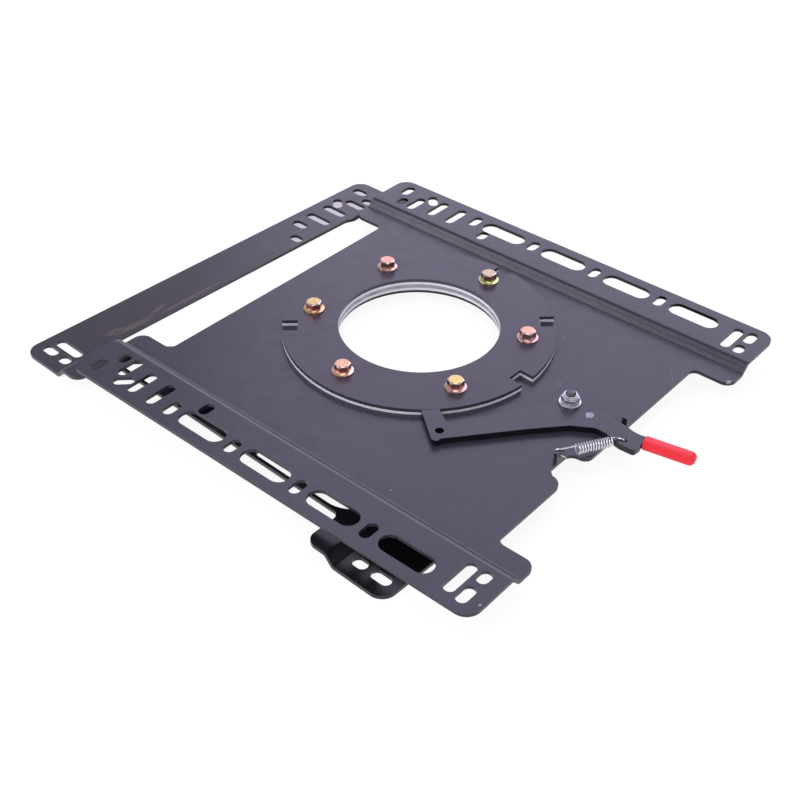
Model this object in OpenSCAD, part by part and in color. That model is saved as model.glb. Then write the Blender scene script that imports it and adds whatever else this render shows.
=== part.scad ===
// Swivel base for a camper van seat. Two pressed steel plates turn on each other round a bolted ring.
// The lower plate is fixed to the vehicle and the upper plate carries the seat.
// Millimetres, +Z up. The origin is on the swivel axis, in the plane that the upper plate slides on.

/* [Plates] */
// Length of a plate along its two rails
plate_l = 398; // [370:1:430]
// Width of a plate across its two rails
plate_w = 404.5; // [385:0.5:440]
// Thickness of the steel sheet
plate_t = 3; // [2:0.5:3.5]
// Distance from the swivel axis to the outer edge of the wide rail side
axis_to_wide = 228; // [224:0.5:240]
// Distance from the swivel axis to the front end of the rails
axis_to_front = 232; // [230:0.5:245]
// Width of the flat of a rail
rail_w = 47.5; // [44:0.5:48]
// Height by which a rail is stepped out of the pan
step_h = 7.8; // [5.5:0.1:8.2]
// Length of the sloping wall of the step, seen from above
step_run = 7; // [6:0.5:9]
// Mean radius of the bends of the step
bend_r = 4; // [3:0.5:5]
// Corner radius at the outer ends of a rail
rail_corner_r = 12; // [6:0.5:16]
// Corner radius of a rail tab beside the pan
tab_corner_r = 9; // [5:0.5:12]
// Width of a rail with its tab, from the outer edge to the cut-back of the pan
tab_w = 73; // [68:0.5:74]
// Depth by which the pan is cut back between the tabs
pan_back = 33.5; // [30:0.5:35]
// Radius of the inner corners of the cut-back
pan_corner_r = 6; // [3:0.5:9]
// Radius of the hole in the pan of the upper plate
upper_hole_r = 98; // [97:0.25:98.5]

/* [Seat holes] */
// Number of oblong holes in a rail of the upper plate
oblong_n = 4; // [2:1:4]
// Pitch of the oblong holes
oblong_pitch = 66; // [64:0.5:68]
// Length of an oblong hole
oblong_l = 45; // [40:0.5:47]
// Width of an oblong hole
oblong_w = 17; // [12:0.5:19]
// Distance from the rail's edge to the middle of the oblong holes
oblong_in = 18; // [16:0.5:20]
// Place of the oblong hole furthest from the front
oblong_y = 32.5; // [30:0.5:34]
// Width of the bolt slots
slot_w = 9; // [6.5:0.1:9.5]

/* [Turntable] */
// Outer radius of the clamp ring and of the slide rings
ring_r = 113.4; // [112:0.1:114.5]
// Radius of the hole through the clamp ring and the slide rings
ring_hole_r = 67; // [60:0.5:70]
// Thickness of the clamp ring
clamp_t = 3; // [2.5:0.1:4]
// Thickness of a slide ring
slide_t = 2.5; // [2:0.1:3]
// Gap above and below the upper plate between the slide rings
run_gap = 0.15; // [0.1:0.05:0.3]
// Radial gap between the spacer ring and the hole of the upper plate
spacer_gap = 0.4; // [0.3:0.05:0.8]
// Width of a locking notch
notch_w = 14.3; // [14.2:0.1:16]
// Depth of a locking notch
notch_d = 13; // [8:0.5:14]
// Angle by which the seat plate stands turned past square
swivel_angle = 1.8; // [0:0.1:1.9]

/* [Ring bolts] */
// Number of bolts
bolt_n = 6; // [6:1:6]
// Radius of the bolt circle
bolt_circle_r = 90; // [86:0.5:91]
// Diameter of the bolts
bolt_d = 8; // [6:0.5:8]
// Clearance of a bolt in its holes, on the diameter
bolt_clear = 0.4; // [0.2:0.1:1]
// Width across the flats of the bolt heads
bolt_flats = 12; // [11:0.5:14]
// Height of a bolt head with its flange
bolt_head_h = 8; // [6:0.5:9]
// Diameter of the flange of a bolt head
bolt_flange_d = 17.5; // [15:0.5:19]
// Width across the flats of the weld nuts
nut_flats = 13; // [12:0.5:14]
// Height of a weld nut
nut_h = 6.4; // [5:0.1:6.6]

/* [Lock lever] */
// Pivot of the lever, to the right of the swivel axis
pivot_x = -4.5; // [-6:0.5:-3]
// Pivot of the lever, in front of the swivel axis
pivot_y = -153.5; // [-155:0.5:-152]
// Thickness of the lever
lever_t = 5; // [4:0.25:5]
// Thickness of the washer that the lever turns on
lever_shim_t = 0.5; // [0.3:0.1:0.6]
// Width of the tooth
tooth_w = 13.9; // [10:0.1:14]
// Gap between the tooth and the rim that it rides on
tooth_gap = 0.2; // [0.1:0.1:0.5]
// Diameter of the stud that the lever turns on
stud_d = 8; // [6:0.5:9]
// Running clearance of the lever's bush on the stud, on the diameter
stud_clear = 0.1; // [0.04:0.02:0.2]
// Wall of the bush in the lever
bush_wall = 1.5; // [1:0.1:2]
// Length of the vinyl grip
grip_l = 42; // [30:1:50]
// Width of the grip
grip_w = 12; // [10:0.5:14]
// Height of the grip
grip_h = 9; // [7:0.5:9.5]

/* [Return spring] */
// Diameter of the spring wire
wire_d = 1.3; // [0.8:0.1:1.6]
// Outer diameter of the coil
coil_d = 8.4; // [6:0.1:9]
// Number of turns of the coil
coil_turns = 13; // [8:1:15]

/* [Hidden] */
$fn = 96;
EPS = 0.01;
// Height of the cutters, which reach as far below the sliding plane as above it
cut_h = 80;

// Levels, from the lower pan up
lower_pan_top = -slide_t;
lower_pan_z = lower_pan_top - plate_t;
upper_pan_z = run_gap;
upper_pan_top = upper_pan_z + plate_t;
spacer_h = plate_t + 2 * run_gap;
upper_slide_z = spacer_h;
clamp_z = upper_slide_z + slide_t;
clamp_top = clamp_z + clamp_t;
lever_z = upper_pan_top + lever_shim_t;
lever_top = lever_z + lever_t;

// Plan of a plate, in the upper plate's own directions
wide_x = -axis_to_wide;
narrow_x = plate_w - axis_to_wide;
front_y = -axis_to_front;
back_y = plate_l - axis_to_front;
pan_front_y = front_y + pan_back;
pan_back_y = back_y - pan_back;
spring_bay_d = 15;
bay_left = [-86, 10];
bay_left_top = -71.2;
bay_right = [-54, 7.5];
bay_right_foot = bay_right[0] + 2 * bay_right[1];
notch_angles = [135, 0, -45, -90];
// How much wider the hole of the lower plate is than that of the rings, on the radius
hole_margin = 1;

// Bolt slots of a rail end: distance in from the rail's edge, place along the rail, length and turn
back_slots = [[15.5, 149.5, 16, 0], [34.3, 140.5, 12.8, 0], [29.3, 128, 23, 0], [15, 118.5, 17, 45],
    [23, 106, 27.5, 0], [23, 84.5, 28, 0], [17.6, 65.3, 17, 0], [33.6, 45, 14, 0]];
front_slots = [[25, -205.2, 31, 0], [15.6, -217, 16.8, 0], [35, -217, 12.4, 0]];
between_slot_l = 16;
between_slot_in = 17.6;

// Windows of the lower plate, in its own directions
window_r = 14;
side_window_x = -195.5;
side_window_w = 58;
side_windows = [[-115, 50], [-54, 42], [98, 46]];
side_window_r = 5;
front_corner_r = 26;
rear_window = [-178, 132, 290, 52.4];
web_x = -181;
web_y = 151;
web_w = 20;
web_l = 150;

// Tabs bent up from the front edge of the upper plate
spring_tab_x = -64;
spring_tab_w = 9;
spring_tab_h = 9.3;
spring_hole_in = 4.4;
spring_hole_h = 5.6;
spring_hole_d = 3.2;
stop_tab_x = 5.5;
stop_tab_l = 4.5;
stop_tab_h = 7.5;

// Lever plan, in the upper plate's directions
eye_r = 14.5;
tooth_turn = -135.7;
tooth_lean = 6;
pin_x = -7;
pin_y = -173.4;
pin_d = 5;
pin_head_d = 7;
pin_head_h = 0.3;
lever_hole_x = -95.8;
lever_hole_y = -100;
lever_hole_d = 6.8;
lever_spring_x = -14.3;
lever_spring_y = -209.2;
lever_spring_d = 3.4;
grip_x = -4.7;
grip_y = -217.5;
grip_turn = -78.5;
grip_start = 2.6;
tang_w = 8;
washer_d = 17.2;
washer_t = 1.8;
locknut_flats = 12.6;
locknut_h = 7.2;
collar_h = 2.6;
collar_d = 10.4;
stud_top_h = 2.4;
stud_tip_d = 6;
stud_tip_h = 1.4;

// Shapes that several pieces share

module cut_hole(r, sides) {
    translate([0, 0, -cut_h / 2]) cylinder(r = r, h = cut_h, $fn = sides);
}

module slot(length, width, turn) {
    run = (length - width) / 2;
    rotate(turn) {
        for (side = [-1, 1])
            translate([side * run, 0, 0]) cut_hole(width / 2, 48);
        translate([-run, -width / 2, -cut_h / 2]) cube([2 * run, width, cut_h]);
    }
}

module rounded(x0, y0, x1, y1, r_left, r_right) {
    difference() {
        translate([x0, y0]) square([x1 - x0, y1 - y0]);
        for (y = [y0, y1]) {
            corner_cut(x0, y, 1, y == y0 ? 1 : -1, r_left);
            corner_cut(x1, y, -1, y == y0 ? 1 : -1, r_right);
        }
    }
}

// What a round corner takes away, at x, y, with the sheet towards sx, sy
module corner_cut(x, y, sx, sy, r) {
    translate([x, y]) scale([sx, sy]) difference() {
        translate([-EPS, -EPS]) square(r + EPS);
        translate([r, r]) circle(r);
    }
}

// The blank of a plate seen from above: two rails with tabs, and a pan cut back between them
module plate_plan() {
    mid_x0 = wide_x + tab_w;
    mid_x1 = narrow_x - tab_w;
    rounded(wide_x, front_y, mid_x0, back_y, rail_corner_r, tab_corner_r);
    rounded(mid_x1, front_y, narrow_x, back_y, tab_corner_r, rail_corner_r);
    translate([mid_x0 - tab_w / 4, pan_front_y]) square([mid_x1 - mid_x0 + tab_w / 2, pan_back_y - pan_front_y]);
    for (end = [[pan_front_y, -1], [pan_back_y, 1]]) {
        corner_cut(mid_x0, end[0], 1, end[1], pan_corner_r);
        corner_cut(mid_x1, end[0], -1, end[1], pan_corner_r);
    }
}

// Points of an arc round a centre
function arc(cx, cy, r, a0, a1, n) =
    [for (i = [0:n]) [cx + r * cos(a0 + (a1 - a0) * i / n), cy + r * sin(a0 + (a1 - a0) * i / n)]];

// The folded sheet seen along the rails: both rails stepped up out of the pan with rounded bends
step_angle = atan(step_h / step_run);
bend_in = bend_r - plate_t / 2;
bend_out = bend_r + plate_t / 2;
function bend_pull(r) = r * tan(step_angle / 2);
function step_points(foot, crest, side) = concat(
    arc(foot - side * bend_pull(bend_in), plate_t + bend_in, bend_in, -90, -90 + side * step_angle, 5),
    arc(crest + side * bend_pull(bend_out), plate_t + step_h - bend_out, bend_out, 90 + side * step_angle, 90, 5));
function under_points(foot, crest, side) = concat(
    arc(crest + side * bend_pull(bend_out), plate_t + step_h - bend_out, bend_in, 90, 90 + side * step_angle, 5),
    arc(foot - side * bend_pull(bend_in), plate_t + bend_in, bend_out, -90 + side * step_angle, -90, 5));

module folded_sheet() {
    wide_crest = wide_x + rail_w;
    narrow_crest = narrow_x - rail_w;
    profile = concat(
        [[wide_x, plate_t + step_h]],
        [for (i = [11:-1:0]) step_points(wide_crest + step_run, wide_crest, -1)[i]],
        step_points(narrow_crest - step_run, narrow_crest, 1),
        [[narrow_x, plate_t + step_h], [narrow_x, step_h]],
        under_points(narrow_crest - step_run, narrow_crest, 1),
        [for (i = [11:-1:0]) under_points(wide_crest + step_run, wide_crest, -1)[i]],
        [[wide_x, step_h]]);
    translate([0, back_y, 0]) rotate([90, 0, 0]) linear_extrude(plate_l) polygon(profile);
}

module plate_blank() {
    intersection() {
        folded_sheet();
        translate([0, 0, -step_h]) linear_extrude(plate_t + 3 * step_h) plate_plan();
    }
}

// The bolt slots that both plates have at the rail ends
module end_slots() {
    for (s = concat(back_slots, front_slots)) {
        translate([wide_x + s[0], s[1], 0]) slot(s[2], slot_w, -s[3]);
        translate([narrow_x - s[0], s[1], 0]) slot(s[2], slot_w, s[3]);
    }
}

module rail_openings() {
    for (i = [0:oblong_n - 1], edge = [wide_x + oblong_in, narrow_x - oblong_in])
        translate([edge, oblong_y - i * oblong_pitch, 0]) slot(oblong_l, oblong_w, 90);
    for (i = [0:oblong_n - 2], edge = [wide_x + between_slot_in, narrow_x - between_slot_in])
        translate([edge, oblong_y - (i + 0.5) * oblong_pitch, 0]) slot(between_slot_l, slot_w, 0);
}

module on_bolt_circle(i) {
    rotate(i * 360 / bolt_n) translate([bolt_circle_r, 0, 0]) children();
}

module turned() {
    rotate(swivel_angle) children();
}

// A flat ring with the six bolt holes
module drilled_ring(outer_r, height) {
    difference() {
        cylinder(r = outer_r, h = height, $fn = 180);
        translate([0, 0, -EPS]) cylinder(r = ring_hole_r, h = height + 2 * EPS, $fn = 180);
        for (i = [0:bolt_n - 1])
            on_bolt_circle(i) translate([0, 0, -EPS]) cylinder(d = bolt_d + bolt_clear, h = height + 2 * EPS, $fn = 32);
    }
}

module notches(height) {
    for (a = notch_angles)
        rotate(a) translate([ring_r - notch_d, -notch_w / 2, -EPS]) cube([notch_d + 5, notch_w, height + 2 * EPS]);
}

// A long window behind and a row of windows along one side, with a slanting web where they meet
module windows() {
    translate([0, 0, -cut_h / 2]) linear_extrude(cut_h) difference() {
        union() {
            rounded(rear_window[0], rear_window[1], rear_window[0] + rear_window[2], rear_window[1] + rear_window[3],
                window_r, window_r);
            for (w = side_windows)
                rounded(side_window_x, w[0], side_window_x + side_window_w, w[0] + w[1], side_window_r, window_r);
        }
        corner_cut(side_window_x, side_windows[0][0], 1, 1, front_corner_r);
        translate([web_x, web_y]) rotate(-45) square([web_l, web_w], center = true);
    }
}

// Lower plate, fixed to the vehicle: the same blank as the upper one, turned a quarter and stepped down
module lower_plate() {
    color([0.38, 0.37, 0.42]) difference() {
        translate([0, 0, lower_pan_top]) mirror([0, 0, 1]) rotate(-90) difference() {
            plate_blank();
            end_slots();
        }
        cut_hole(ring_hole_r + hole_margin, 180);
        for (i = [0:bolt_n - 1]) on_bolt_circle(i) cut_hole((bolt_d + bolt_clear) / 2, 32);
        windows();
    }
}

module lower_slide_ring() {
    color([0.88, 0.87, 0.92]) translate([0, 0, lower_pan_top]) drilled_ring(ring_r, slide_t);
}

module spacer_ring() {
    color([0.62, 0.61, 0.66]) drilled_ring(upper_hole_r - spacer_gap, spacer_h);
}

module upper_slide_ring() {
    color([0.88, 0.87, 0.92]) translate([0, 0, upper_slide_z]) difference() {
        drilled_ring(ring_r, slide_t);
        notches(slide_t);
    }
}

module clamp_ring() {
    color([0.38, 0.37, 0.42]) translate([0, 0, clamp_z]) difference() {
        drilled_ring(ring_r, clamp_t);
        notches(clamp_t);
    }
}

// Flanged hexagon bolts hold the stack together and screw into weld nuts under the lower plate
flange_t = 1.2;
head_chamfer = 1.4;
head_chamfer_angle = 30;
module ring_bolt(i) {
    shank = clamp_top - lower_pan_z + nut_h - 1;
    color([0.85, 0.68, 0.4]) on_bolt_circle(i) translate([0, 0, clamp_top]) {
        cylinder(d = bolt_flange_d, h = flange_t);
        translate([0, 0, flange_t]) cylinder(d1 = bolt_flange_d - 1, d2 = bolt_flats, h = 1);
        intersection() {
            rotate(i * 47) cylinder(d = bolt_flats / cos(30), h = bolt_head_h, $fn = 6);
            cylinder(d1 = bolt_flats - head_chamfer + 2 * bolt_head_h / tan(head_chamfer_angle),
                d2 = bolt_flats - head_chamfer, h = bolt_head_h);
        }
        translate([0, 0, -shank]) cylinder(d = bolt_d, h = shank + EPS, $fn = 32);
    }
}

module ring_nut(i) {
    color([0.72, 0.72, 0.74]) on_bolt_circle(i) translate([0, 0, lower_pan_z - nut_h]) difference() {
        cylinder(d = nut_flats / cos(30), h = nut_h, $fn = 6);
        translate([0, 0, -EPS]) cylinder(d = bolt_d, h = nut_h + 2 * EPS, $fn = 32);
    }
}

// Bay in the front edge of the upper plate, for the spring: flared out to the edge with round corners
module spring_bay() {
    bay_y = pan_front_y + spring_bay_d;
    polygon(concat(
        [[bay_left[0], pan_front_y - 1]],
        arc(bay_left[0], pan_front_y + bay_left[1], bay_left[1], -90, 0, 8),
        [[bay_left_top, bay_y]],
        arc(bay_right[0], bay_y - bay_right[1], bay_right[1], 90, 0, 8),
        arc(bay_right_foot, pan_front_y + bay_right[1], bay_right[1], 180, 270, 8),
        [[bay_right_foot, pan_front_y - 1]]));
}

// Upper plate with its bent tabs
module bent_tabs() {
    translate([spring_tab_x, pan_front_y + spring_bay_d, upper_pan_z]) difference() {
        cube([spring_tab_w, plate_t, plate_t + spring_tab_h]);
        translate([spring_hole_in, -1, plate_t + spring_hole_h]) rotate([-90, 0, 0])
            cylinder(d = spring_hole_d, h = plate_t + 2, $fn = 32);
    }
    translate([stop_tab_x, pan_front_y, upper_pan_z]) cube([plate_t, stop_tab_l, plate_t + stop_tab_h]);
}

module upper_plate() {
    color([0.42, 0.41, 0.46]) turned() {
        difference() {
            translate([0, 0, upper_pan_z]) plate_blank();
            cut_hole(upper_hole_r, 180);
            end_slots();
            rail_openings();
            translate([0, 0, -cut_h / 2]) linear_extrude(cut_h) spring_bay();
            translate([pivot_x, pivot_y, 0]) cut_hole(stud_d / 2, 48);
        }
        bent_tabs();
    }
}

// Stud clinched into the pan, flush below
module pivot_stud() {
    straight = lever_top + washer_t + locknut_h + stud_top_h - stud_tip_h - upper_pan_z;
    color([0.8, 0.8, 0.83]) turned() translate([pivot_x, pivot_y, upper_pan_z]) {
        cylinder(d = stud_d, h = straight, $fn = 48);
        translate([0, 0, straight]) cylinder(d1 = stud_d, d2 = stud_tip_d, h = stud_tip_h, $fn = 48);
    }
}

module pivot_shim() {
    color([0.8, 0.8, 0.83]) turned() translate([pivot_x, pivot_y, upper_pan_top]) difference() {
        cylinder(r = eye_r - 3, h = lever_shim_t);
        translate([0, 0, -EPS]) cylinder(d = stud_d + stud_clear, h = lever_shim_t + 2 * EPS, $fn = 48);
    }
}

// Plan of the lever: tooth arm, eye round the pivot, ear for the spring and tang for the grip
function polar(r, a) = [r * cos(a), r * sin(a)];
tooth_tip_r = ring_r + tooth_gap;
tooth_mid = polar(tooth_tip_r, tooth_turn);
tooth_out = [cos(tooth_turn + tooth_lean), sin(tooth_turn + tooth_lean)];
tooth_side = [-tooth_out[1], tooth_out[0]] * tooth_w / 2;
heel = [-107.3, -101];
heel_r = 4;
armpit = [[-84.6, -97.5], [-72, -108]];
lever_right = [[4, -175], [1.2, -195], [0.6, -201], [-1.2, -208], [-1.4, -218.5], [-13.2, -221.4]];
ear_mid = [-16, -217.5];
ear_r = 4;
lever_neck = [[-20.4, -208.5], [-19.2, -202.5], [-16.6, -194]];
neck_mid = [-28.4, -188.5];
neck_r = 12;
lever_left = [[-26.8, -169], [-49.5, -149], [-79.1, -125.1], [-102.5, -106.3]];

module lever_plan() {
    polygon(concat(
        [for (i = [0:6]) polar(tooth_tip_r, tooth_turn + (i / 6 - 0.5) * tooth_w / tooth_tip_r * 180 / PI)],
        armpit,
        arc(pivot_x, pivot_y, eye_r, 128, -35, 14),
        lever_right,
        arc(ear_mid[0], ear_mid[1], ear_r, -130, -190, 4),
        lever_neck,
        arc(neck_mid[0], neck_mid[1], neck_r, -8, 40, 6),
        lever_left,
        arc(heel[0] + heel_r, heel[1] - heel_r / 2, heel_r, -120, -220, 5)));
}

module lock_lever() {
    color([0.42, 0.41, 0.46]) turned() translate([0, 0, lever_z]) {
        difference() {
            linear_extrude(lever_t) lever_plan();
            translate([pivot_x, pivot_y, 0]) cut_hole((stud_d + stud_clear) / 2 + bush_wall, 48);
            translate([pin_x, pin_y, 0]) cut_hole(pin_d / 2, 48);
            translate([lever_hole_x, lever_hole_y, 0]) cut_hole(lever_hole_d / 2, 48);
            translate([lever_spring_x, lever_spring_y, 0]) cut_hole(lever_spring_d / 2, 32);
        }
        translate([grip_x, grip_y, 0]) rotate(grip_turn) translate([-3, -tang_w / 2, 0])
            cube([grip_l, tang_w, lever_t]);
    }
}

module lever_bush() {
    color([0.8, 0.8, 0.83]) turned() translate([pivot_x, pivot_y, lever_z]) difference() {
        cylinder(d = stud_d + stud_clear + 2 * bush_wall, h = lever_t, $fn = 48);
        translate([0, 0, -EPS]) cylinder(d = stud_d + stud_clear, h = lever_t + 2 * EPS, $fn = 48);
    }
}

module lever_rivet() {
    color([0.8, 0.8, 0.83]) turned() translate([pin_x, pin_y, lever_z]) {
        cylinder(d = pin_d, h = lever_t, $fn = 48);
        translate([0, 0, lever_t]) cylinder(d1 = pin_head_d, d2 = pin_head_d - 2 * pin_head_h, h = pin_head_h, $fn = 48);
    }
}

// Dipped vinyl grip with a round end, closed round the lever's tang
module lever_grip() {
    side = grip_w / 2 - grip_h / 2;
    end_gap = 0.05;
    color([0.95, 0.2, 0.25]) turned() translate([grip_x, grip_y, lever_z + lever_t / 2]) rotate(grip_turn)
        difference() {
            hull() for (y = [-side, side]) {
                translate([grip_start, y, 0]) rotate([0, 90, 0]) cylinder(d = grip_h, h = EPS, $fn = 24);
                translate([grip_l - grip_h / 2, y, 0]) sphere(d = grip_h, $fn = 24);
            }
            translate([-1, -tang_w / 2, -lever_t / 2]) cube([grip_l - 2 + end_gap, tang_w, lever_t]);
        }
}

// Flat washer and lock nut that keep the lever on its stud
module pivot_washer() {
    color([0.8, 0.8, 0.83]) turned() translate([pivot_x, pivot_y, lever_top + 0.1]) difference() {
        cylinder(d = washer_d, h = washer_t - 0.1);
        translate([0, 0, -EPS]) cylinder(d = stud_d, h = washer_t + 2 * EPS, $fn = 48);
    }
}

module pivot_nut() {
    color([0.8, 0.8, 0.83]) turned() translate([pivot_x, pivot_y, lever_top + washer_t]) difference() {
        union() {
            cylinder(d = locknut_flats / cos(30), h = locknut_h - collar_h, $fn = 6);
            cylinder(d = locknut_flats - 0.6, h = locknut_h - collar_h / 2, $fn = 48);
            cylinder(d = collar_d, h = locknut_h, $fn = 48);
        }
        translate([0, 0, -EPS]) cylinder(d = stud_d, h = locknut_h + 2 * EPS, $fn = 48);
    }
}

// Extension spring from the bent tab to the lever: a close coil with a hook at each end
spring_from = [spring_tab_x + spring_hole_in, pan_front_y + spring_bay_d + plate_t / 2, upper_pan_top + spring_hole_h];
spring_to = [lever_spring_x, lever_spring_y, lever_top];
spring_turn = atan2(spring_to[1] - spring_from[1], spring_to[0] - spring_from[0]);
coil_r = (coil_d - wire_d) / 2;
coil_l = 27.7;
coil_start = 13.6;
coil_axis_h = 7.2;
coil_steps = 14;
along = [cos(spring_turn), sin(spring_turn), 0];
across = [-along[1], along[0], 0];
upward = [0, 0, 1];
coil_from = [spring_from[0], spring_from[1], upper_pan_top + coil_axis_h] + coil_start * along;
function coil_point(t) = coil_from + coil_l * t * along
    + coil_r * sin(360 * coil_turns * t) * across + coil_r * cos(360 * coil_turns * t) * upward;
wire_gap = 0.2;
over_tab = spring_tab_h - spring_hole_h + wire_d / 2 + wire_gap;
tab_hook = [[1, -6, -0.9], [0.4, -3.2, -0.3], [0, -1.7, 0], [0, 1.2, 0], [-0.5, 2.7, 0.6], [-0.7, 3.1, 1.8],
    [-0.6, 2.5, over_tab - 0.8], [0, 0.8, over_tab], [3, -1.3, over_tab + 0.1], [7, -3.9, over_tab + 0.3]];
over_lever = wire_d / 2 + wire_gap;
lever_hook = [[-6.5, 5.5, 3.6], [-3.6, 5.6, 1.6], [-2.2, 4.6, over_lever], [-1.4, 2.6, over_lever], [-0.6, 0.9, over_lever - 0.3],
    [0, 0.1, -0.6], [0.1, 0, -2.2], [0, 0, -3.8]];

module wire_run(path) {
    sides = 6;
    n = len(path);
    tangents = [for (i = [0:n - 1]) let (d = path[min(i + 1, n - 1)] - path[max(i - 1, 0)]) d / norm(d)];
    rings = [for (i = [0:n - 1], k = [0:sides - 1]) let (
        t = tangents[i],
        u = cross(t, across) / norm(cross(t, across)),
        w = cross(t, u),
        a = 360 * k / sides) path[i] + wire_d / 2 * (cos(a) * u + sin(a) * w)];
    skin = [for (i = [0:n - 2], k = [0:sides - 1], half = [0, 1]) let (k2 = (k + 1) % sides)
        half == 0 ? [i * sides + k, (i + 1) * sides + k, (i + 1) * sides + k2]
        : [i * sides + k, (i + 1) * sides + k2, i * sides + k2]];
    first = [for (k = [1:sides - 2]) [0, k, k + 1]];
    last = [for (k = [1:sides - 2]) [(n - 1) * sides, (n - 1) * sides + k + 1, (n - 1) * sides + k]];
    polyhedron(points = rings, faces = concat(skin, first, last));
}

module return_spring() {
    steps = coil_turns * coil_steps;
    color([0.85, 0.85, 0.88]) turned() wire_run(concat(
        [for (p = tab_hook) spring_from + p],
        [for (i = [0:steps]) coil_point(i / steps)],
        [for (p = lever_hook) spring_to + p]));
}

lower_plate();
lower_slide_ring();
spacer_ring();
upper_slide_ring();
clamp_ring();
ring_bolt(0);  // ring_bolt_1
ring_bolt(1);  // ring_bolt_2
ring_bolt(2);  // ring_bolt_3
ring_bolt(3);  // ring_bolt_4
ring_bolt(4);  // ring_bolt_5
ring_bolt(5);  // ring_bolt_6
ring_nut(0);  // ring_nut_1
ring_nut(1);  // ring_nut_2
ring_nut(2);  // ring_nut_3
ring_nut(3);  // ring_nut_4
ring_nut(4);  // ring_nut_5
ring_nut(5);  // ring_nut_6
upper_plate();
pivot_stud();
pivot_shim();
lock_lever();
lever_bush();
lever_rivet();
lever_grip();
pivot_washer();
pivot_nut();
return_spring();
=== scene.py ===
import math

import bpy
from mathutils import Matrix, Vector


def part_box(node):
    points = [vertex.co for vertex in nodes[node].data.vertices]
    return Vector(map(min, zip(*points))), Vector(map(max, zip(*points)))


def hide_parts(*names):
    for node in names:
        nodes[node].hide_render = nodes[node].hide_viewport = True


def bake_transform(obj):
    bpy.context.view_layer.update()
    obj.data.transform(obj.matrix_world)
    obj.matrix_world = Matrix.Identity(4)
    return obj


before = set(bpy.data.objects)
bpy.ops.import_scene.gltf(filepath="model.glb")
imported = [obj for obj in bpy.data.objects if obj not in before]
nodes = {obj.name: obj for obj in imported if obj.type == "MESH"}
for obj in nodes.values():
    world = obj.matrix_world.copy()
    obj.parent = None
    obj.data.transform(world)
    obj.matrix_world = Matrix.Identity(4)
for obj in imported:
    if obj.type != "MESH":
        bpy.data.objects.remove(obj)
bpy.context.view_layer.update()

# Camera
# The seat base is seen from its front left corner, from just under 40 degrees above the floor, with a
# normal lens. The picture's sides lean a little, so the camera is rolled by just under a degree.
MM = 0.001
camera_place = Vector((-637.35, -553.56, 596.7)) * MM
heading = math.radians(41.99)
downward = math.radians(38.40)
roll = math.radians(0.87)
lens = 55.94
nearest_seen = 0.05
farthest_seen = 50
forward = Vector((
    math.cos(downward) * math.cos(heading),
    math.cos(downward) * math.sin(heading),
    -math.sin(downward),
))
level_right = forward.cross(Vector((0, 0, 1))).normalized()
level_up = level_right.cross(forward)
right = math.cos(roll) * level_right + math.sin(roll) * level_up
up = math.cos(roll) * level_up - math.sin(roll) * level_right
camera_data = bpy.data.cameras.new("camera")
camera_data.lens = lens
camera_data.clip_start = nearest_seen
camera_data.clip_end = farthest_seen
camera = bpy.data.objects.new("camera", camera_data)
camera.matrix_world = Matrix((
    (right.x, up.x, -forward.x, camera_place.x),
    (right.y, up.y, -forward.y, camera_place.y),
    (right.z, up.z, -forward.z, camera_place.z),
    (0, 0, 0, 1),
))
bpy.context.scene.collection.objects.link(camera)
bpy.context.scene.camera = camera
bpy.context.scene.view_settings.view_transform = "Standard"


# White studio table
# A plain white sheet that the seat base lies on. It is almost without shadow, so part of its white is
# its own light, which only the camera and glossy surfaces see. Where it shows through the slots at one
# end of the lower plate's rear strip, its own light is a lilac grey, a painted shadow.
def new_material(name):
    material = bpy.data.materials.new(name)
    material.use_nodes = True
    tree = material.node_tree
    return material, tree, tree.nodes["Principled BSDF"]


def add_node(tree, kind, **settings):
    node = tree.nodes.new(kind)
    for key, value in settings.items():
        setattr(node, key, value)
    return node


def feed(tree, value, socket):
    """Links an output to the socket, or sets the socket to a colour or a number."""
    if isinstance(value, bpy.types.NodeSocket):
        tree.links.new(value, socket)
    elif isinstance(value, tuple):
        socket.default_value = (*value, 1)
    else:
        socket.default_value = value


def calculate(tree, operation, *values):
    result = add_node(tree, "ShaderNodeMath", operation=operation)
    for value, socket in zip(values, result.inputs):
        feed(tree, value, socket)
    return result.outputs[0]


def mix_colours(tree, factor, first, second):
    mix = add_node(tree, "ShaderNodeMix", data_type="RGBA")
    for value, socket in ((factor, mix.inputs[0]), (first, mix.inputs[6]), (second, mix.inputs[7])):
        feed(tree, value, socket)
    return mix.outputs[2]


def coordinate(tree, axis, kind="Object"):
    """X, Y or Z of the shaded point, in metres. For a world's Generated kind it is that of the direction."""
    place = add_node(tree, "ShaderNodeTexCoord")
    split = add_node(tree, "ShaderNodeSeparateXYZ")
    tree.links.new(place.outputs[kind], split.inputs["Vector"])
    return split.outputs[axis]


table_reach = 6.0
table_roughness = 0.9
table_own_light = 0.9
table_lit = (0.8, 0.8, 0.8)
table_seen = (0.17, 0.17, 0.17)
slot_painted_shadow = (0.57, 0.52, 0.62)
slot_centre = {"X": 0.085, "Y": 0.2065}
slot_reach = {"X": 0.068, "Y": 0.0165}
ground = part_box("lower_plate")[0].z
corners = [(table_reach * x, table_reach * y, ground) for x, y in ((-1, -1), (1, -1), (1, 1), (-1, 1))]
table_mesh = bpy.data.meshes.new("table")
table_mesh.from_pydata(corners, [], [(0, 1, 2, 3)])
table = bpy.data.objects.new("table", table_mesh)
bpy.context.scene.collection.objects.link(table)
table_white, tree, shader = new_material("table_white")
ray = add_node(tree, "ShaderNodeLightPath")
seen = calculate(tree, "MAXIMUM", ray.outputs["Is Camera Ray"], ray.outputs["Is Glossy Ray"])
in_reach = [
    calculate(tree, "COMPARE", coordinate(tree, axis), slot_centre[axis], slot_reach[axis]) for axis in "XY"
]
under_slots = calculate(tree, "MULTIPLY", *in_reach)
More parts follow.
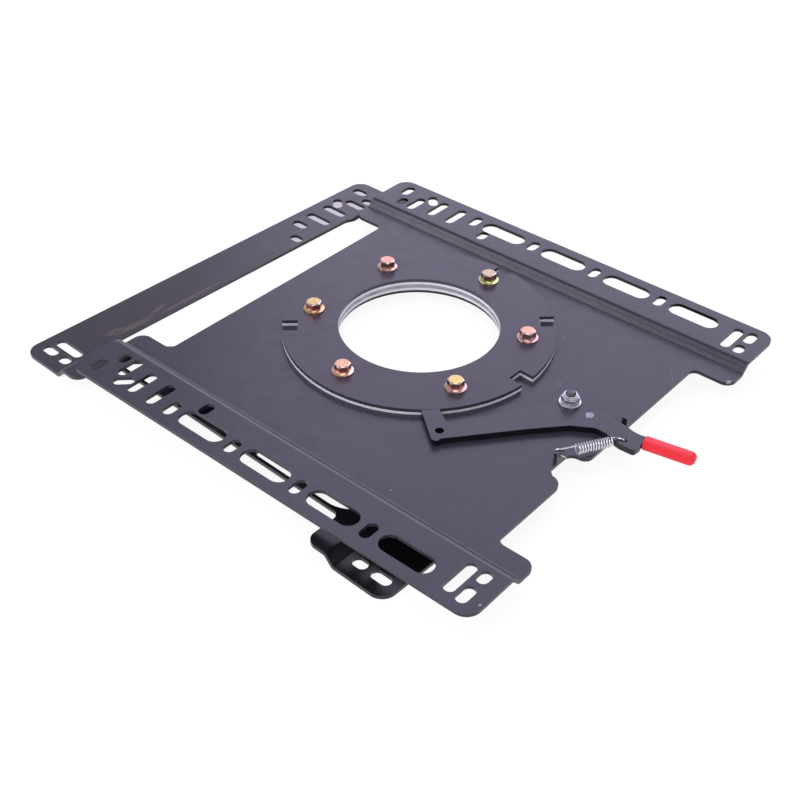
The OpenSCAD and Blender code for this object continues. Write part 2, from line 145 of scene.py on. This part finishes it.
shader.inputs["Roughness"].default_value = table_roughness
shader.inputs["Specular IOR Level"].default_value = 0.0
tree.links.new(mix_colours(tree, seen, table_lit, table_seen), shader.inputs["Base Color"])
# Painted shadow: under the strip's slots the table's own light is grey.
tree.links.new(mix_colours(tree, under_slots, (1, 1, 1), slot_painted_shadow), shader.inputs["Emission Color"])
tree.links.new(calculate(tree, "MULTIPLY", seen, table_own_light), shader.inputs["Emission Strength"])
table_mesh.materials.append(table_white)


# Studio light
# A white backdrop stands all round the table and the room is dimmer higher up. One large soft box stands
# behind the seat base, opposite the camera, one to its left and a small one above, and another small one
# fills from the camera's side.
def ramp(tree, value, start, end, low=0.0, high=1.0):
    """Runs from low at start to high at end, and stays level past both. End may be the smaller."""
    slope = add_node(tree, "ShaderNodeMapRange")
    for name, setting in (("From Min", start), ("From Max", end), ("To Min", low), ("To Max", high)):
        slope.inputs[name].default_value = setting
    tree.links.new(value, slope.inputs["Value"])
    return slope.outputs["Result"]


def soft_box(name, place, size, power, colour):
    """A square lamp that faces the seat base. Its place and size are in metres and its power in watts."""
    light = bpy.data.lights.new(name, "AREA")
    light.shape = "SQUARE"
    light.size = size
    light.energy = power
    light.color = colour
    lamp = bpy.data.objects.new(name, light)
    lamp.location = place
    lamp.rotation_euler = (-Vector(place)).to_track_quat("-Z", "Y").to_euler()
    bpy.context.scene.collection.objects.link(lamp)


backdrop_white = (0.985, 0.955, 1.05)
backdrop_light = 0.9
ceiling_light = 0.34
ceiling_height = 0.9
world = bpy.data.worlds.new("studio")
world.use_nodes = True
bpy.context.scene.world = world
tree = world.node_tree
sky = tree.nodes["Background"]
sky.inputs["Color"].default_value = (*backdrop_white, 1)
ray = add_node(tree, "ShaderNodeLightPath")
room = ramp(tree, coordinate(tree, "Z", "Generated"), 0.0, ceiling_height, backdrop_light, ceiling_light)
tree.links.new(calculate(tree, "MAXIMUM", room, ray.outputs["Is Camera Ray"]), sky.inputs["Strength"])

cool_white = (0.93, 0.9, 1.24)
lamp_white = (1.0, 0.98, 1.02)
soft_box("back_soft_box", place=(1.9, 0.85, 1.75), size=2.6, power=29, colour=cool_white)
soft_box("left_soft_box", place=(-1.7, 1.3, 1.25), size=1.4, power=18, colour=lamp_white)
soft_box("top_soft_box", place=(-0.2, -0.18, 2.1), size=0.9, power=4, colour=lamp_white)
soft_box("near_soft_box", place=(-1.5, -1.7, 0.9), size=1.0, power=7, colour=lamp_white)


# Upper plate
# Pressed steel sheet with two stepped rails, powder coated black all over. The coat is satin with a
# fine orange peel, its cut edges are painted lighter as a highlight, its steps carry painted light and
# shade, and dust and small chips stand out as pale specks.
same_corner = 0.01


def smooth(mesh):
    for face in mesh.polygons:
        face.use_smooth = True


def soft_edges(name, width, edge_angle=38, edge_finish=-1, segments=2):
    """Rounds the sharp edges of a CAD node by width in millimetres, and keeps its flats flat. The rounded
    edges take the piece's finish of that number, or the one beside them where it is -1."""
    piece = nodes[name]
    smooth(piece.data)
    weld = piece.modifiers.new("weld", "WELD")
    weld.merge_threshold = same_corner * MM
    bevel = piece.modifiers.new("edges", "BEVEL")
    bevel.width = width * MM
    bevel.segments = segments
    bevel.limit_method = "ANGLE"
    bevel.angle_limit = math.radians(edge_angle)
    bevel.material = edge_finish
    normals = piece.modifiers.new("flats", "WEIGHTED_NORMAL")
    normals.keep_sharp = True


def dress(name, *materials):
    piece = nodes[name]
    piece.data.materials.clear()
    for material in materials:
        piece.data.materials.append(material)


def facing(tree, axis):
    """How far the shaded face looks along X, Y or Z, from -1 to 1."""
    surface = add_node(tree, "ShaderNodeNewGeometry")
    split = add_node(tree, "ShaderNodeSeparateXYZ")
    tree.links.new(surface.outputs["True Normal"], split.inputs["Vector"])
    return split.outputs[axis]


def noise(tree, grain, detail=3.0, low=0.35, high=0.65):
    """Clouds from 0 to 1 over the real size of the piece, with grain of them along a metre."""
    place = add_node(tree, "ShaderNodeTexCoord")
    cloud = add_node(tree, "ShaderNodeTexNoise")
    cloud.inputs["Scale"].default_value = grain
    cloud.inputs["Detail"].default_value = detail
    tree.links.new(place.outputs["Object"], cloud.inputs["Vector"])
    return ramp(tree, cloud.outputs["Fac"], low, high)


def shade_of(colour, share):
    return tuple(share * part for part in colour)


line_core = 0.4


def band(tree, value, centre, half):
    """1 along centre, and 0 from half away on, with a soft slope between."""
    away = calculate(tree, "ABSOLUTE", calculate(tree, "SUBTRACT", value, centre))
    return ramp(tree, away, half, line_core * half)


mark_core = 0.5


def oval(tree, place, size, angle):
    """Mask of an oval mark at place, with its length, width and height, in millimetres and degrees."""
    point = add_node(tree, "ShaderNodeTexCoord")
    mark = add_node(tree, "ShaderNodeMapping", vector_type="TEXTURE")
    mark.inputs["Location"].default_value = [MM * v for v in place]
    mark.inputs["Rotation"].default_value = (0, 0, math.radians(angle))
    mark.inputs["Scale"].default_value = [MM * v / 2 for v in size]
    away = add_node(tree, "ShaderNodeVectorMath", operation="LENGTH")
    tree.links.new(point.outputs["Object"], mark.inputs["Vector"])
    tree.links.new(mark.outputs["Vector"], away.inputs[0])
    return ramp(tree, away.outputs["Value"], 1.0, mark_core)


dust_cells = 40
dust_radius = 0.4
dusty_cells = (0.62, 0.7)


def dust(tree):
    """Mask of round specks, one in about a third of the cells that dust_cells of lie along a metre."""
    place = add_node(tree, "ShaderNodeTexCoord")
    scatter = add_node(tree, "ShaderNodeTexVoronoi")
    scatter.inputs["Scale"].default_value = dust_cells
    some = add_node(tree, "ShaderNodeSeparateColor")
    tree.links.new(place.outputs["Object"], scatter.inputs["Vector"])
    tree.links.new(scatter.outputs["Color"], some.inputs["Color"])
    reach = dust_cells * dust_radius * MM
    specks = ramp(tree, scatter.outputs["Distance"], reach, line_core * reach)
    return calculate(tree, "MULTIPLY", specks, ramp(tree, some.outputs["Red"], *dusty_cells))


# Painted light on a pressed step: its slope that faces -X lighter, a highlight on its crest, shade along its
# bends.
slope_painted_light = (0.082, 0.075, 0.1)
crest_glint = (0.14, 0.13, 0.16)
slope_light_grain = 700
slope_light_patches = (0.3, 0.55)
step_slope = (-0.3, -0.6)
slope_start = (-0.02, -0.1)
crest_slope = 0.11
crest_spread = 0.09
bend_reach = 0.45
bend_shade = 0.6


def painted_step_light(tree, coat, flat, bends):
    """Paints light on a pressed step's slope that faces -X, a highlight on its crest and shade along its
    bends.
    """
    leaning = facing(tree, "X")
    patches = noise(tree, slope_light_grain, 2, *slope_light_patches)
    lit_slope = calculate(tree, "MULTIPLY", ramp(tree, leaning, *step_slope), patches)
    coat = mix_colours(tree, lit_slope, coat, slope_painted_light)
    coat = mix_colours(tree, band(tree, leaning, crest_slope, crest_spread), coat, crest_glint)
    for bend in bends:
        by_bend = band(tree, coordinate(tree, "Z"), bend * MM, bend_reach * MM)
        line = calculate(tree, "MULTIPLY", by_bend, ramp(tree, leaning, *slope_start))
        coat = mix_colours(tree, line, coat, shade_of(flat, bend_shade))
    return coat


peel_grain = 900
peel_strength = 0.25
peel_depth = 0.05


def orange_peel(tree, shader):
    relief = add_node(tree, "ShaderNodeBump")
    relief.inputs["Strength"].default_value = peel_strength
    relief.inputs["Distance"].default_value = peel_depth * MM
    tree.links.new(noise(tree, peel_grain, 2), relief.inputs["Height"])
    tree.links.new(relief.outputs["Normal"], shader.inputs["Normal"])


satin = 0.38
coat_grain = 260
coat_darkest = 0.93
coat_palest = 1.08
gloss_grain = 70
wall_to_flat = (0.2, 0.6)
shaded_wall = (0.008, 0.007, 0.01)
deep_shade = 0.2
dust_grey = (0.34, 0.32, 0.36)
mark_grain = 900
mark_patches = (0.4, 0.55)


def powder_coat(name, flat, wall, bends=(), marks=(), shade=(), rough=(0.24, 0.32), wall_shade=()):
    """Black coat: flat is its colour on faces that look up, and wall is the colour painted on cut walls as
    their light or shade. bends are the heights of the foot and crest of a pressed step, marks are (tint,
    place, size, angle), and past shade, which is a start and an end along Y, the coat is painted at its
    darkest, as shadow. wall_shade is the same for walls, along X, as painted shade."""
    material, tree, shader = new_material(name)
    darkest = shade_of(flat, coat_darkest)
    palest = shade_of(flat, coat_palest)
    coat = mix_colours(tree, noise(tree, coat_grain, 5), darkest, palest)
    if bends:
        coat = painted_step_light(tree, coat, flat, bends)
    # Painted shade: walls past wall_shade along X go near black.
    if wall_shade:
        wall = mix_colours(tree, ramp(tree, coordinate(tree, "X"), *wall_shade), wall, shaded_wall)
    coat = mix_colours(tree, dust(tree), coat, dust_grey)
    # Cut walls take wall, a colour painted as their light or shade, by how little they look up.
    colour = mix_colours(tree, ramp(tree, facing(tree, "Z"), *wall_to_flat), wall, coat)
    # Painted shadow: past shade along Y the coat goes darkest.
    if shade:
        shaded = ramp(tree, coordinate(tree, "Y"), *shade)
        colour = mix_colours(tree, shaded, colour, shade_of(flat, deep_shade))
    for tint, place, size, angle in marks:
        ragged = noise(tree, mark_grain, 2, *mark_patches)
        mark = calculate(tree, "MULTIPLY", oval(tree, place, size, angle), ragged)
        colour = mix_colours(tree, mark, colour, tint)
    tree.links.new(colour, shader.inputs["Base Color"])
    tree.links.new(ramp(tree, noise(tree, gloss_grain), 0, 1, *rough), shader.inputs["Roughness"])
    shader.inputs["Specular IOR Level"].default_value = satin
    orange_peel(tree, shader)
    return material


bare_steel = (0.55, 0.53, 0.56)
scratch = (0.22, 0.21, 0.24)
pan_top = 3.15
rail_top = 10.95
step_bends = (3.9, 7.3, 10.3)
plate_edge = 0.35
upper_marks = [
    (bare_steel, (114.1, -224.8, 2.6), (6, 5, 4), 0),
    (bare_steel, (73.4, -94.3, pan_top), (1.6, 1.2, 2), 0),
    (scratch, (-3.4, -145.3, pan_top), (7, 1.2, 2), 40),
    (scratch, (21.6, -127.9, pan_top), (9, 1.0, 2), -60),
    (scratch, (17.6, -130.9, pan_top), (7, 0.9, 2), -40),
    (scratch, (88.4, -189.1, pan_top), (10, 1.1, 2), 45),
    (scratch, (94.4, -184.1, pan_top), (6, 0.9, 2), 60),
    (bare_steel, (-160.4, -117.0, pan_top), (2.2, 1.4, 2), 0),
    (bare_steel, (-206.6, -236.0, rail_top), (3, 2, 3), 0),
    (bare_steel, (-187.6, 168.7, rail_top), (2.2, 1.6, 2), 0),
    (scratch, (-189.3, 158.6, rail_top), (5, 1.0, 2), 80),
]
upper_coat = powder_coat(
    "upper_coat", flat=(0.048, 0.04, 0.061), wall=(0.034, 0.03, 0.044), bends=step_bends,
    marks=upper_marks, wall_shade=(-0.02, 0.06))
# A lighter coat on the rounded cut edges, a painted highlight along the rims.
edge_painted_highlight = powder_coat("edge_painted_highlight", flat=(0.13, 0.125, 0.15), wall=(0.07, 0.066, 0.08))
soft_edges("upper_plate", plate_edge, edge_finish=1)
dress("upper_plate", upper_coat, edge_painted_highlight)


# Lower plate
# The same pressed blank, upside down and turned a quarter, in the same black coat. It lies in the shade
# of the upper plate, so its coat is painted a little browner and darker as shade, its front end darkest as
# painted shadow, and its walls lighter as painted light but dark towards the rear as painted shade. It is
# rubbed brown along its rear strip.
rub = (0.13, 0.11, 0.09)
strip_top = -10.3
lower_marks = [
    (rub, (-87.6, 189.3, strip_top), (90, 4, 3), 0),
    (rub, (-147.1, 191.0, strip_top), (44, 9, 3), 0),
    (rub, (-118.0, 196.0, strip_top), (26, 5, 3), 10),
    (rub, (-165.0, 196.0, strip_top), (20, 8, 3), 0),
]
lower_coat = powder_coat(
    "lower_coat", flat=(0.043, 0.0365, 0.052), wall=(0.06, 0.054, 0.066), marks=lower_marks,
    shade=(-0.08, -0.1), wall_shade=(-0.01, 0.01))
soft_edges("lower_plate", plate_edge, edge_finish=1)
dress("lower_plate", lower_coat, edge_painted_highlight)


# Clamp ring
# Steel ring with four locking notches, laser cut and coated black like the plates. The six ring bolts
# press it down, and the lever's tooth rides on its rim.
ring_edge = 0.15
# Its walls are painted a little lighter than its top, as light.
ring_coat = powder_coat(
    "ring_coat", flat=(0.048, 0.04, 0.062), wall=(0.055, 0.05, 0.068), rough=(0.23, 0.31))
soft_edges("clamp_ring", ring_edge)
dress("clamp_ring", ring_coat)


# Slide rings
# Two smooth rings of pale plastic, below and above the upper plate, which turns between them. Only their
# edges are seen, under the clamp ring's rim and in its notches.
def mottled(name, first, second, grain, roughness, metallic=0.0, specular=0.5, detail=3.0):
    """A finish that wanders between two colours, in clouds of which grain lie along a metre."""
    material, tree, shader = new_material(name)
    tree.links.new(mix_colours(tree, noise(tree, grain, detail), first, second), shader.inputs["Base Color"])
    shader.inputs["Metallic"].default_value = metallic
    shader.inputs["Roughness"].default_value = roughness
    shader.inputs["Specular IOR Level"].default_value = specular
    return material


small_edge = 0.2
slide_plastic = mottled(
    "slide_plastic", (0.86, 0.84, 0.93), (0.93, 0.91, 0.98), grain=150, roughness=0.45)
for name in ("lower_slide_ring", "upper_slide_ring"):
    soft_edges(name, small_edge)
    dress(name, slide_plastic)


# Spacer ring
# Plain steel ring that fills the hole of the upper plate, clamped between the two slide rings. It is a
# little thicker than the plate, so the plate turns freely. Its inner wall is the grey band in the hole.
spacer_edge = 0.1
plain_steel = mottled(
    "plain_steel", (0.3, 0.29, 0.33), (0.42, 0.41, 0.45), grain=120, roughness=0.5, metallic=0.6)
soft_edges("spacer_ring", spacer_edge)
dress("spacer_ring", plain_steel)


# Ring bolts and weld nuts
# Six M8 hexagon flange bolts, cold headed and yellow passivated, in plain steel nuts welded under the
# lower plate. The passivation runs from gold to pink and green, so each bolt has its own tints.
flange_to_head = (11.0 * MM, 12.5 * MM)
chamfer_to_top = (0.93, 0.97)
chamfer_to_side = (0.4, 0.2)
chamfer_painted_highlight = 0.45
blotch_grain = 260
blotch_shade = 0.88
streak_grain = 420
streak_clouds = (0.54, 0.66)
passivated_roughness = 0.19


def yellow_zinc(name, head, facet, flange, streak):
    """Passivated zinc: head is the top's colour, with a painted highlight on the chamfer, facet that of the
    six sides.
    """
    material, tree, shader = new_material(name)
    # A painted highlight: the chamfer round the top is paled towards white.
    chamfer = tuple(chamfer_painted_highlight + (1 - chamfer_painted_highlight) * part for part in head)
    upward = facing(tree, "Z")
    blotched = mix_colours(tree, noise(tree, blotch_grain, 4), shade_of(head, blotch_shade), head)
    top = mix_colours(tree, noise(tree, streak_grain, 3, *streak_clouds), blotched, streak)
    crown = mix_colours(tree, ramp(tree, upward, *chamfer_to_top), chamfer, top)
    hexagon = mix_colours(tree, ramp(tree, upward, *chamfer_to_side), crown, facet)
    skirt = mix_colours(tree, noise(tree, streak_grain, 3, *streak_clouds), flange, streak)
    on_head = ramp(tree, coordinate(tree, "Z"), *flange_to_head)
    tree.links.new(mix_colours(tree, on_head, skirt, hexagon), shader.inputs["Base Color"])
    shader.inputs["Metallic"].default_value = 1.0
    shader.inputs["Roughness"].default_value = passivated_roughness
    return material


bolt_edge = 0.1
hexagon_angle = 25
gold = (0.6, 0.43, 0.16)
pink = (0.56, 0.29, 0.22)
green = (0.66, 0.72, 0.34)
rose = (0.72, 0.46, 0.44)
maroon = (0.85, 0.3, 0.26)
umber = (0.7, 0.38, 0.28)
bolt_tints = [
    {"head": (0.42, 0.31, 0.22), "facet": umber, "flange": green, "streak": (0.48, 0.43, 0.22)},
    {"head": pink, "facet": umber, "flange": (0.76, 0.5, 0.44), "streak": (0.6, 0.36, 0.22)},
    {"head": (0.5, 0.31, 0.15), "facet": maroon, "flange": (0.8, 0.5, 0.3), "streak": (0.52, 0.5, 0.2)},
    {"head": (0.56, 0.32, 0.21), "facet": maroon, "flange": (0.84, 0.6, 0.46), "streak": (0.62, 0.42, 0.2)},
    {"head": gold, "facet": umber, "flange": rose, "streak": (0.64, 0.4, 0.16)},
    {"head": (0.58, 0.31, 0.23), "facet": (0.95, 0.6, 0.52), "flange": rose, "streak": (0.58, 0.45, 0.24)},
]
for number, tints in enumerate(bolt_tints, 1):
    bolt = "ring_bolt_%d" % number
    nut = "ring_nut_%d" % number
    soft_edges(bolt, bolt_edge, hexagon_angle, segments=1)
    dress(bolt, yellow_zinc("yellow_zinc_%d" % number, **tints))
    soft_edges(nut, small_edge, hexagon_angle)
    dress(nut, plain_steel)


# Pivot of the lever
# Zinc plated stud, flat washer and hexagon lock nut with a collar, with a thin washer and a bush that the
# lever turns on. The stud's end and the rivet in the lever are duller, and their rounded edges are painted
# bright zinc as a highlight.
def zinc(name, dull, bright, roughness):
    return mottled(name, dull, bright, grain=420, roughness=roughness, metallic=1.0, detail=4.0)


bright_zinc = zinc("bright_zinc", (0.5, 0.5, 0.53), (0.7, 0.7, 0.74), roughness=0.38)
dull_zinc = zinc("dull_zinc", (0.22, 0.21, 0.25), (0.34, 0.33, 0.38), roughness=0.5)
dark_zinc = zinc("dark_zinc", (0.07, 0.07, 0.085), (0.15, 0.145, 0.17), roughness=0.45)
for name in ("pivot_shim", "pivot_washer", "pivot_nut", "lever_bush"):
    soft_edges(name, small_edge, hexagon_angle)
    dress(name, bright_zinc)
# A painted highlight: the rounded edges of the stud's end and the rivet take bright zinc.
for name, finish in (("pivot_stud", dark_zinc), ("lever_rivet", dull_zinc)):
    soft_edges(name, small_edge, hexagon_angle, edge_finish=1)
    dress(name, finish, bright_zinc)


# Lock lever
# Laser cut steel, 5 mm thick and powder coated black, with a tooth that rides on the ring's rim. It turns
# on the bush of the pivot, and the spring pulls its ear.
# Its cut walls are painted near black, as shade.
lever_coat = powder_coat("lever_coat", flat=(0.051, 0.043, 0.066), wall=(0.008, 0.007, 0.01))
soft_edges("lock_lever", plate_edge, edge_finish=1)
dress("lock_lever", lever_coat, edge_painted_highlight)


# Grip
# Sleeve of red vinyl, dipped on the tang of the lever. It is soft and glossy, with a rounded end, and its
# red is a little uneven.
red_vinyl = mottled(
    "red_vinyl", (0.98, 0.022, 0.04), (1.0, 0.035, 0.055), grain=90, roughness=0.3, specular=0.35)
smooth(nodes["lever_grip"].data)
dress("lever_grip", red_vinyl)


# Return spring
# Close coiled extension spring of bright zinc plated wire, hooked over the bent tab and into the lever. Its
# wire is the same shape as at rest.
coil_gap_painted_shade = (0.05, 0.05, 0.06)
coil_gap_reach = 5
coil_gap_to_open = (0.35, 0.75)
spring_zinc = zinc("spring_zinc", (0.74, 0.74, 0.78), (0.9, 0.9, 0.94), roughness=0.28)
tree = spring_zinc.node_tree
shader = tree.nodes["Principled BSDF"]
# Painted shade: the zinc is darkened where the coil's turns close in round it.
open_side = add_node(tree, "ShaderNodeAmbientOcclusion")
open_side.inputs["Distance"].default_value = coil_gap_reach * MM
plated = shader.inputs["Base Color"].links[0].from_socket
lit = ramp(tree, open_side.outputs["AO"], *coil_gap_to_open)
tree.links.new(mix_colours(tree, lit, coil_gap_painted_shade, plated), shader.inputs["Base Color"])
spring_mesh = nodes["return_spring"].data.copy()
smooth(spring_mesh)
spring_mesh.materials.clear()
spring_mesh.materials.append(spring_zinc)
spring_wire = bpy.data.objects.new("spring_wire", spring_mesh)
bpy.context.scene.collection.objects.link(spring_wire)
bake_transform(spring_wire)
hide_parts("return_spring")
